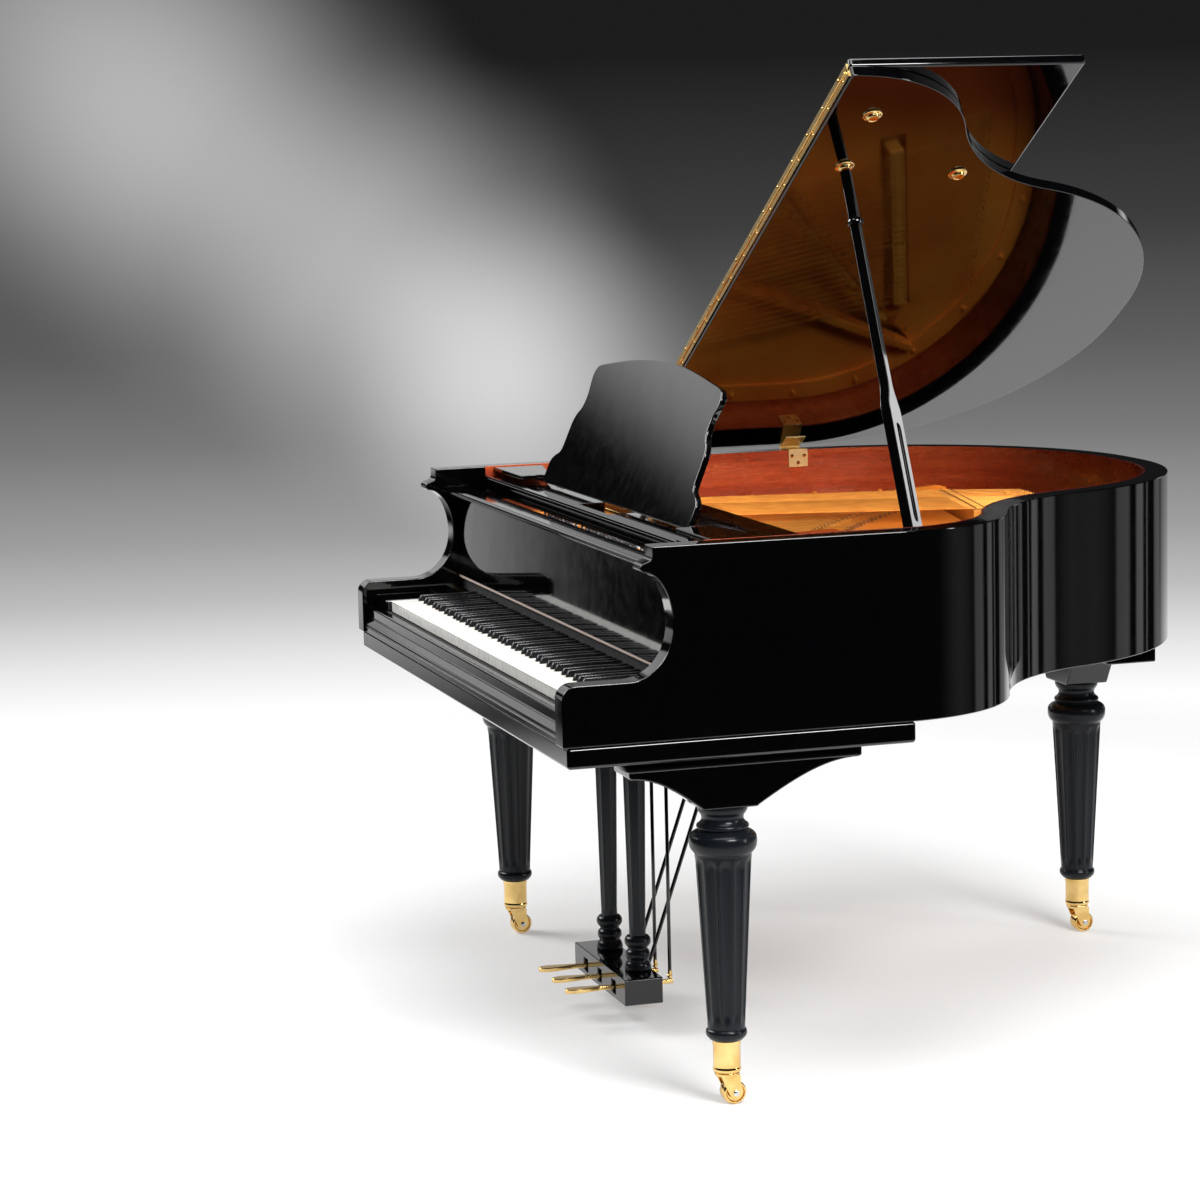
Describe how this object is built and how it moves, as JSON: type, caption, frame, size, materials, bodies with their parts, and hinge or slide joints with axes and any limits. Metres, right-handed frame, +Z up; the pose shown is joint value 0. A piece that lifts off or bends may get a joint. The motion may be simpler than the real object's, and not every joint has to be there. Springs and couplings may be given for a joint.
{
  "type": "baby grand piano",
  "caption": "Black baby grand piano with its lid up on the long prop, open music desk, full keyboard, fluted turned legs on brass casters and a pedal lyre.",
  "frame": {"origin": "middle of the instrument's bounding box, on the floor under the wheels", "axes": "+X towards the treble end of the keyboard, +Y from the keyboard towards the tail, +Z up"},
  "size_m": [1.5189, 1.5104, 1.7939],
  "materials": {
    "polished_ebony": "high gloss black lacquer",
    "mahogany_veneer": "gloss red mahogany",
    "maple": "bare laminated wood",
    "spruce": "clear lacquered softwood",
    "gilded_iron": "gold bronze paint",
    "polished_brass": "polished",
    "string_steel": "drawn wire",
    "copper_winding": "copper wound wire",
    "white_keytop": "gloss white key covering",
    "damper_felt": "black heads over felt"
  },
  "bodies": {
    "case": {"outer_rim": "polished_ebony", "rim_lining": "mahogany_veneer", "inner_rim": "maple", "keybed": "polished_ebony", "keyslip": "polished_ebony", "key_block_bass": "polished_ebony", "key_block_treble": "polished_ebony", "stretcher": "polished_ebony", "pin_block": "maple", "soundboard": "spruce", "iron_plate": "gilded_iron", "plain_strings": "string_steel", "bass_strings": "copper_winding", "lid_hinge_front": "polished_brass", "lid_hinge_rear": "polished_brass", "prop_bracket": "polished_brass", "desk_guide_bass": "polished_ebony", "desk_guide_treble": "polished_ebony", "lyre_columns": "polished_ebony", "lyre_box": "polished_ebony", "lyre_brace_bass": "polished_ebony", "lyre_brace_treble": "polished_ebony", "leg_bass": "polished_ebony", "leg_treble": "polished_ebony", "leg_tail": "polished_ebony", "leg_bracket_bass": "polished_ebony", "leg_bracket_treble": "polished_ebony", "leg_bracket_tail": "polished_ebony", "leg_ferrule_bass": "polished_brass", "leg_ferrule_treble": "polished_brass", "leg_ferrule_tail": "polished_brass"},
    "lid": {"main_lid": "polished_ebony"},
    "flap": {"front_flap": "polished_ebony"},
    "prop": {"long_prop": "polished_ebony"},
    "small_prop": {"short_prop": "polished_ebony"},
    "desk": {"desk_frame": "polished_ebony"},
    "music_rest": {"music_desk": "polished_ebony"},
    "rest_strut": {"desk_strut": "polished_ebony"},
    "fall": {"fallboard": "polished_ebony"},
    "action": {"key_frame": "maple"},
    "damper_lift": {"dampers": "damper_felt"},
    "octave_1": {"keys_octave_1": "white_keytop"},
    "octave_2": {"keys_octave_2": "white_keytop"},
    "octave_3": {"keys_octave_3": "white_keytop"},
    "octave_4": {"keys_octave_4": "white_keytop"},
    "octave_5": {"keys_octave_5": "white_keytop"},
    "octave_6": {"keys_octave_6": "white_keytop"},
    "octave_7": {"keys_octave_7": "white_keytop"},
    "left_pedal": {"pedal_left": "polished_brass"},
    "left_rod": {"pedal_rod_left": "polished_ebony"},
    "middle_pedal": {"pedal_middle": "polished_brass"},
    "middle_rod": {"pedal_rod_middle": "polished_ebony"},
    "right_pedal": {"pedal_right": "polished_brass"},
    "right_rod": {"pedal_rod_right": "polished_ebony"},
    "bass_caster": {"caster_fork_bass": "polished_brass"},
    "bass_wheel": {"caster_wheel_bass": "polished_brass"},
    "treble_caster": {"caster_fork_treble": "polished_brass"},
    "treble_wheel": {"caster_wheel_treble": "polished_brass"},
    "tail_caster": {"caster_fork_tail": "polished_brass"},
    "tail_wheel": {"caster_wheel_tail": "polished_brass"}
  },
  "joints": [
    {"name": "lid_opening", "type": "hinge", "parent": "case", "child": "lid", "pos_m": [-0.74303, -0.74718, 0.9945], "axis": [0, -1, 0], "range_deg": [0, 50]},
    {"name": "flap_fold", "type": "hinge", "parent": "lid", "child": "flap", "pos_m": [-0.75338, -0.14418, 1.01196], "axis": [0.8601, 0, 0.5101], "range_deg": [0, 180]},
    {"name": "prop_fold", "type": "hinge", "parent": "case", "child": "prop", "pos_m": [0.67847, -0.08518, 0.96], "axis": [-0.5864, -0.743, -0.3226], "range_deg": [0, 64]},
    {"name": "short_prop_fold", "type": "hinge", "parent": "prop", "child": "small_prop", "pos_m": [0.65148, -0.08316, 1.0044], "axis": [0.6219, -0.6682, 0.4084], "range_deg": [0, 35]},
    {"name": "desk_travel", "type": "slide", "parent": "case", "child": "desk", "axis": [0, 1, 0], "range_m": [0, 0.09]},
    {"name": "desk_tilt", "type": "hinge", "parent": "desk", "child": "music_rest", "pos_m": [0.01047, -0.41718, 0.986], "axis": [-1, 0, 0], "range_deg": [0, 67.2]},
    {"name": "strut_fold", "type": "hinge", "parent": "music_rest", "child": "rest_strut", "pos_m": [0.01047, -0.38249, 1.0582], "axis": [-1, 0, 0], "range_deg": [0, 59.65]},
    {"name": "fallboard_close", "type": "hinge", "parent": "case", "child": "fall", "pos_m": [0.01047, -0.54218, 0.768], "axis": [1, 0, 0], "range_deg": [0, 90]},
    {"name": "action_shift", "type": "slide", "parent": "case", "child": "action", "axis": [1, 0, 0], "range_m": [0, 0.003]},
    {"name": "damper_rise", "type": "slide", "parent": "case", "child": "damper_lift", "axis": [0, 0, 1], "range_m": [0, 0.0051]},
    {"name": "key_dip_1", "type": "hinge", "parent": "action", "child": "octave_1", "pos_m": [0.01047, -0.48718, 0.713], "axis": [1, 0, 0], "range_deg": [0, 2.5], "stiffness_Nm_per_rad": 6, "springref_deg": -8.59},
    {"name": "key_dip_2", "type": "hinge", "parent": "action", "child": "octave_2", "pos_m": [0.01047, -0.48718, 0.713], "axis": [1, 0, 0], "range_deg": [0, 2.5], "stiffness_Nm_per_rad": 6, "springref_deg": -8.59},
    {"name": "key_dip_3", "type": "hinge", "parent": "action", "child": "octave_3", "pos_m": [0.01047, -0.48718, 0.713], "axis": [1, 0, 0], "range_deg": [0, 2.5], "stiffness_Nm_per_rad": 6, "springref_deg": -8.59},
    {"name": "key_dip_4", "type": "hinge", "parent": "action", "child": "octave_4", "pos_m": [0.01047, -0.48718, 0.713], "axis": [1, 0, 0], "range_deg": [0, 2.5], "stiffness_Nm_per_rad": 6, "springref_deg": -8.59},
    {"name": "key_dip_5", "type": "hinge", "parent": "action", "child": "octave_5", "pos_m": [0.01047, -0.48718, 0.713], "axis": [1, 0, 0], "range_deg": [0, 2.5], "stiffness_Nm_per_rad": 6, "springref_deg": -8.59},
    {"name": "key_dip_6", "type": "hinge", "parent": "action", "child": "octave_6", "pos_m": [0.01047, -0.48718, 0.713], "axis": [1, 0, 0], "range_deg": [0, 2.5], "stiffness_Nm_per_rad": 6, "springref_deg": -8.59},
    {"name": "key_dip_7", "type": "hinge", "parent": "action", "child": "octave_7", "pos_m": [0.01047, -0.48718, 0.713], "axis": [1, 0, 0], "range_deg": [0, 2.5], "stiffness_Nm_per_rad": 6, "springref_deg": -8.59},
    {"name": "left_pedal_press", "type": "hinge", "parent": "case", "child": "left_pedal", "pos_m": [-0.07953, -0.43518, 0.069], "axis": [1, 0, 0], "range_deg": [0, 5.3], "stiffness_Nm_per_rad": 30, "springref_deg": -2.86},
    {"name": "left_rod_lift", "type": "slide", "parent": "case", "child": "left_rod", "axis": [0, 0, 1], "range_m": [0, 0.007]},
    {"name": "middle_pedal_press", "type": "hinge", "parent": "case", "child": "middle_pedal", "pos_m": [0.01047, -0.43518, 0.069], "axis": [1, 0, 0], "range_deg": [0, 5.3], "stiffness_Nm_per_rad": 30, "springref_deg": -2.86},
    {"name": "middle_rod_lift", "type": "slide", "parent": "case", "child": "middle_rod", "axis": [0, 0, 1], "range_m": [0, 0.007]},
    {"name": "right_pedal_press", "type": "hinge", "parent": "case", "child": "right_pedal", "pos_m": [0.10047, -0.43518, 0.069], "axis": [1, 0, 0], "range_deg": [0, 5.3], "stiffness_Nm_per_rad": 30, "springref_deg": -2.86},
    {"name": "right_rod_lift", "type": "slide", "parent": "case", "child": "right_rod", "axis": [0, 0, 1], "range_m": [0, 0.007]},
    {"name": "bass_caster_turn", "type": "hinge", "parent": "case", "child": "bass_caster", "pos_m": [-0.66753, -0.45218, 0.0587], "axis": [0, 0, 1], "continuous": true},
    {"name": "bass_wheel_roll", "type": "hinge", "parent": "bass_caster", "child": "bass_wheel", "pos_m": [-0.66753, -0.44218, 0.02109], "axis": [1, 0, 0], "continuous": true},
    {"name": "treble_caster_turn", "type": "hinge", "parent": "case", "child": "treble_caster", "pos_m": [0.68847, -0.45218, 0.0587], "axis": [0, 0, 1], "continuous": true},
    {"name": "treble_wheel_roll", "type": "hinge", "parent": "treble_caster", "child": "treble_wheel", "pos_m": [0.68847, -0.44218, 0.02109], "axis": [1, 0, 0], "continuous": true},
    {"name": "tail_caster_turn", "type": "hinge", "parent": "case", "child": "tail_caster", "pos_m": [-0.22753, 0.64082, 0.0587], "axis": [0, 0, 1], "continuous": true},
    {"name": "tail_wheel_roll", "type": "hinge", "parent": "tail_caster", "child": "tail_wheel", "pos_m": [-0.22753, 0.65082, 0.02109], "axis": [1, 0, 0], "continuous": true}
  ],
  "couplings": [
    {"joint": "strut_fold", "follows": "desk_tilt", "ratio": 0.8744},
    {"joint": "left_pedal_press", "follows": "action_shift", "rad_per_m": 30.8},
    {"joint": "left_rod_lift", "follows": "action_shift", "ratio": 2.248},
    {"joint": "damper_rise", "follows": "right_pedal_press", "m_per_rad": 0.054},
    {"joint": "middle_rod_lift", "follows": "middle_pedal_press", "m_per_rad": 0.073},
    {"joint": "right_rod_lift", "follows": "right_pedal_press", "m_per_rad": 0.073}
  ]
}
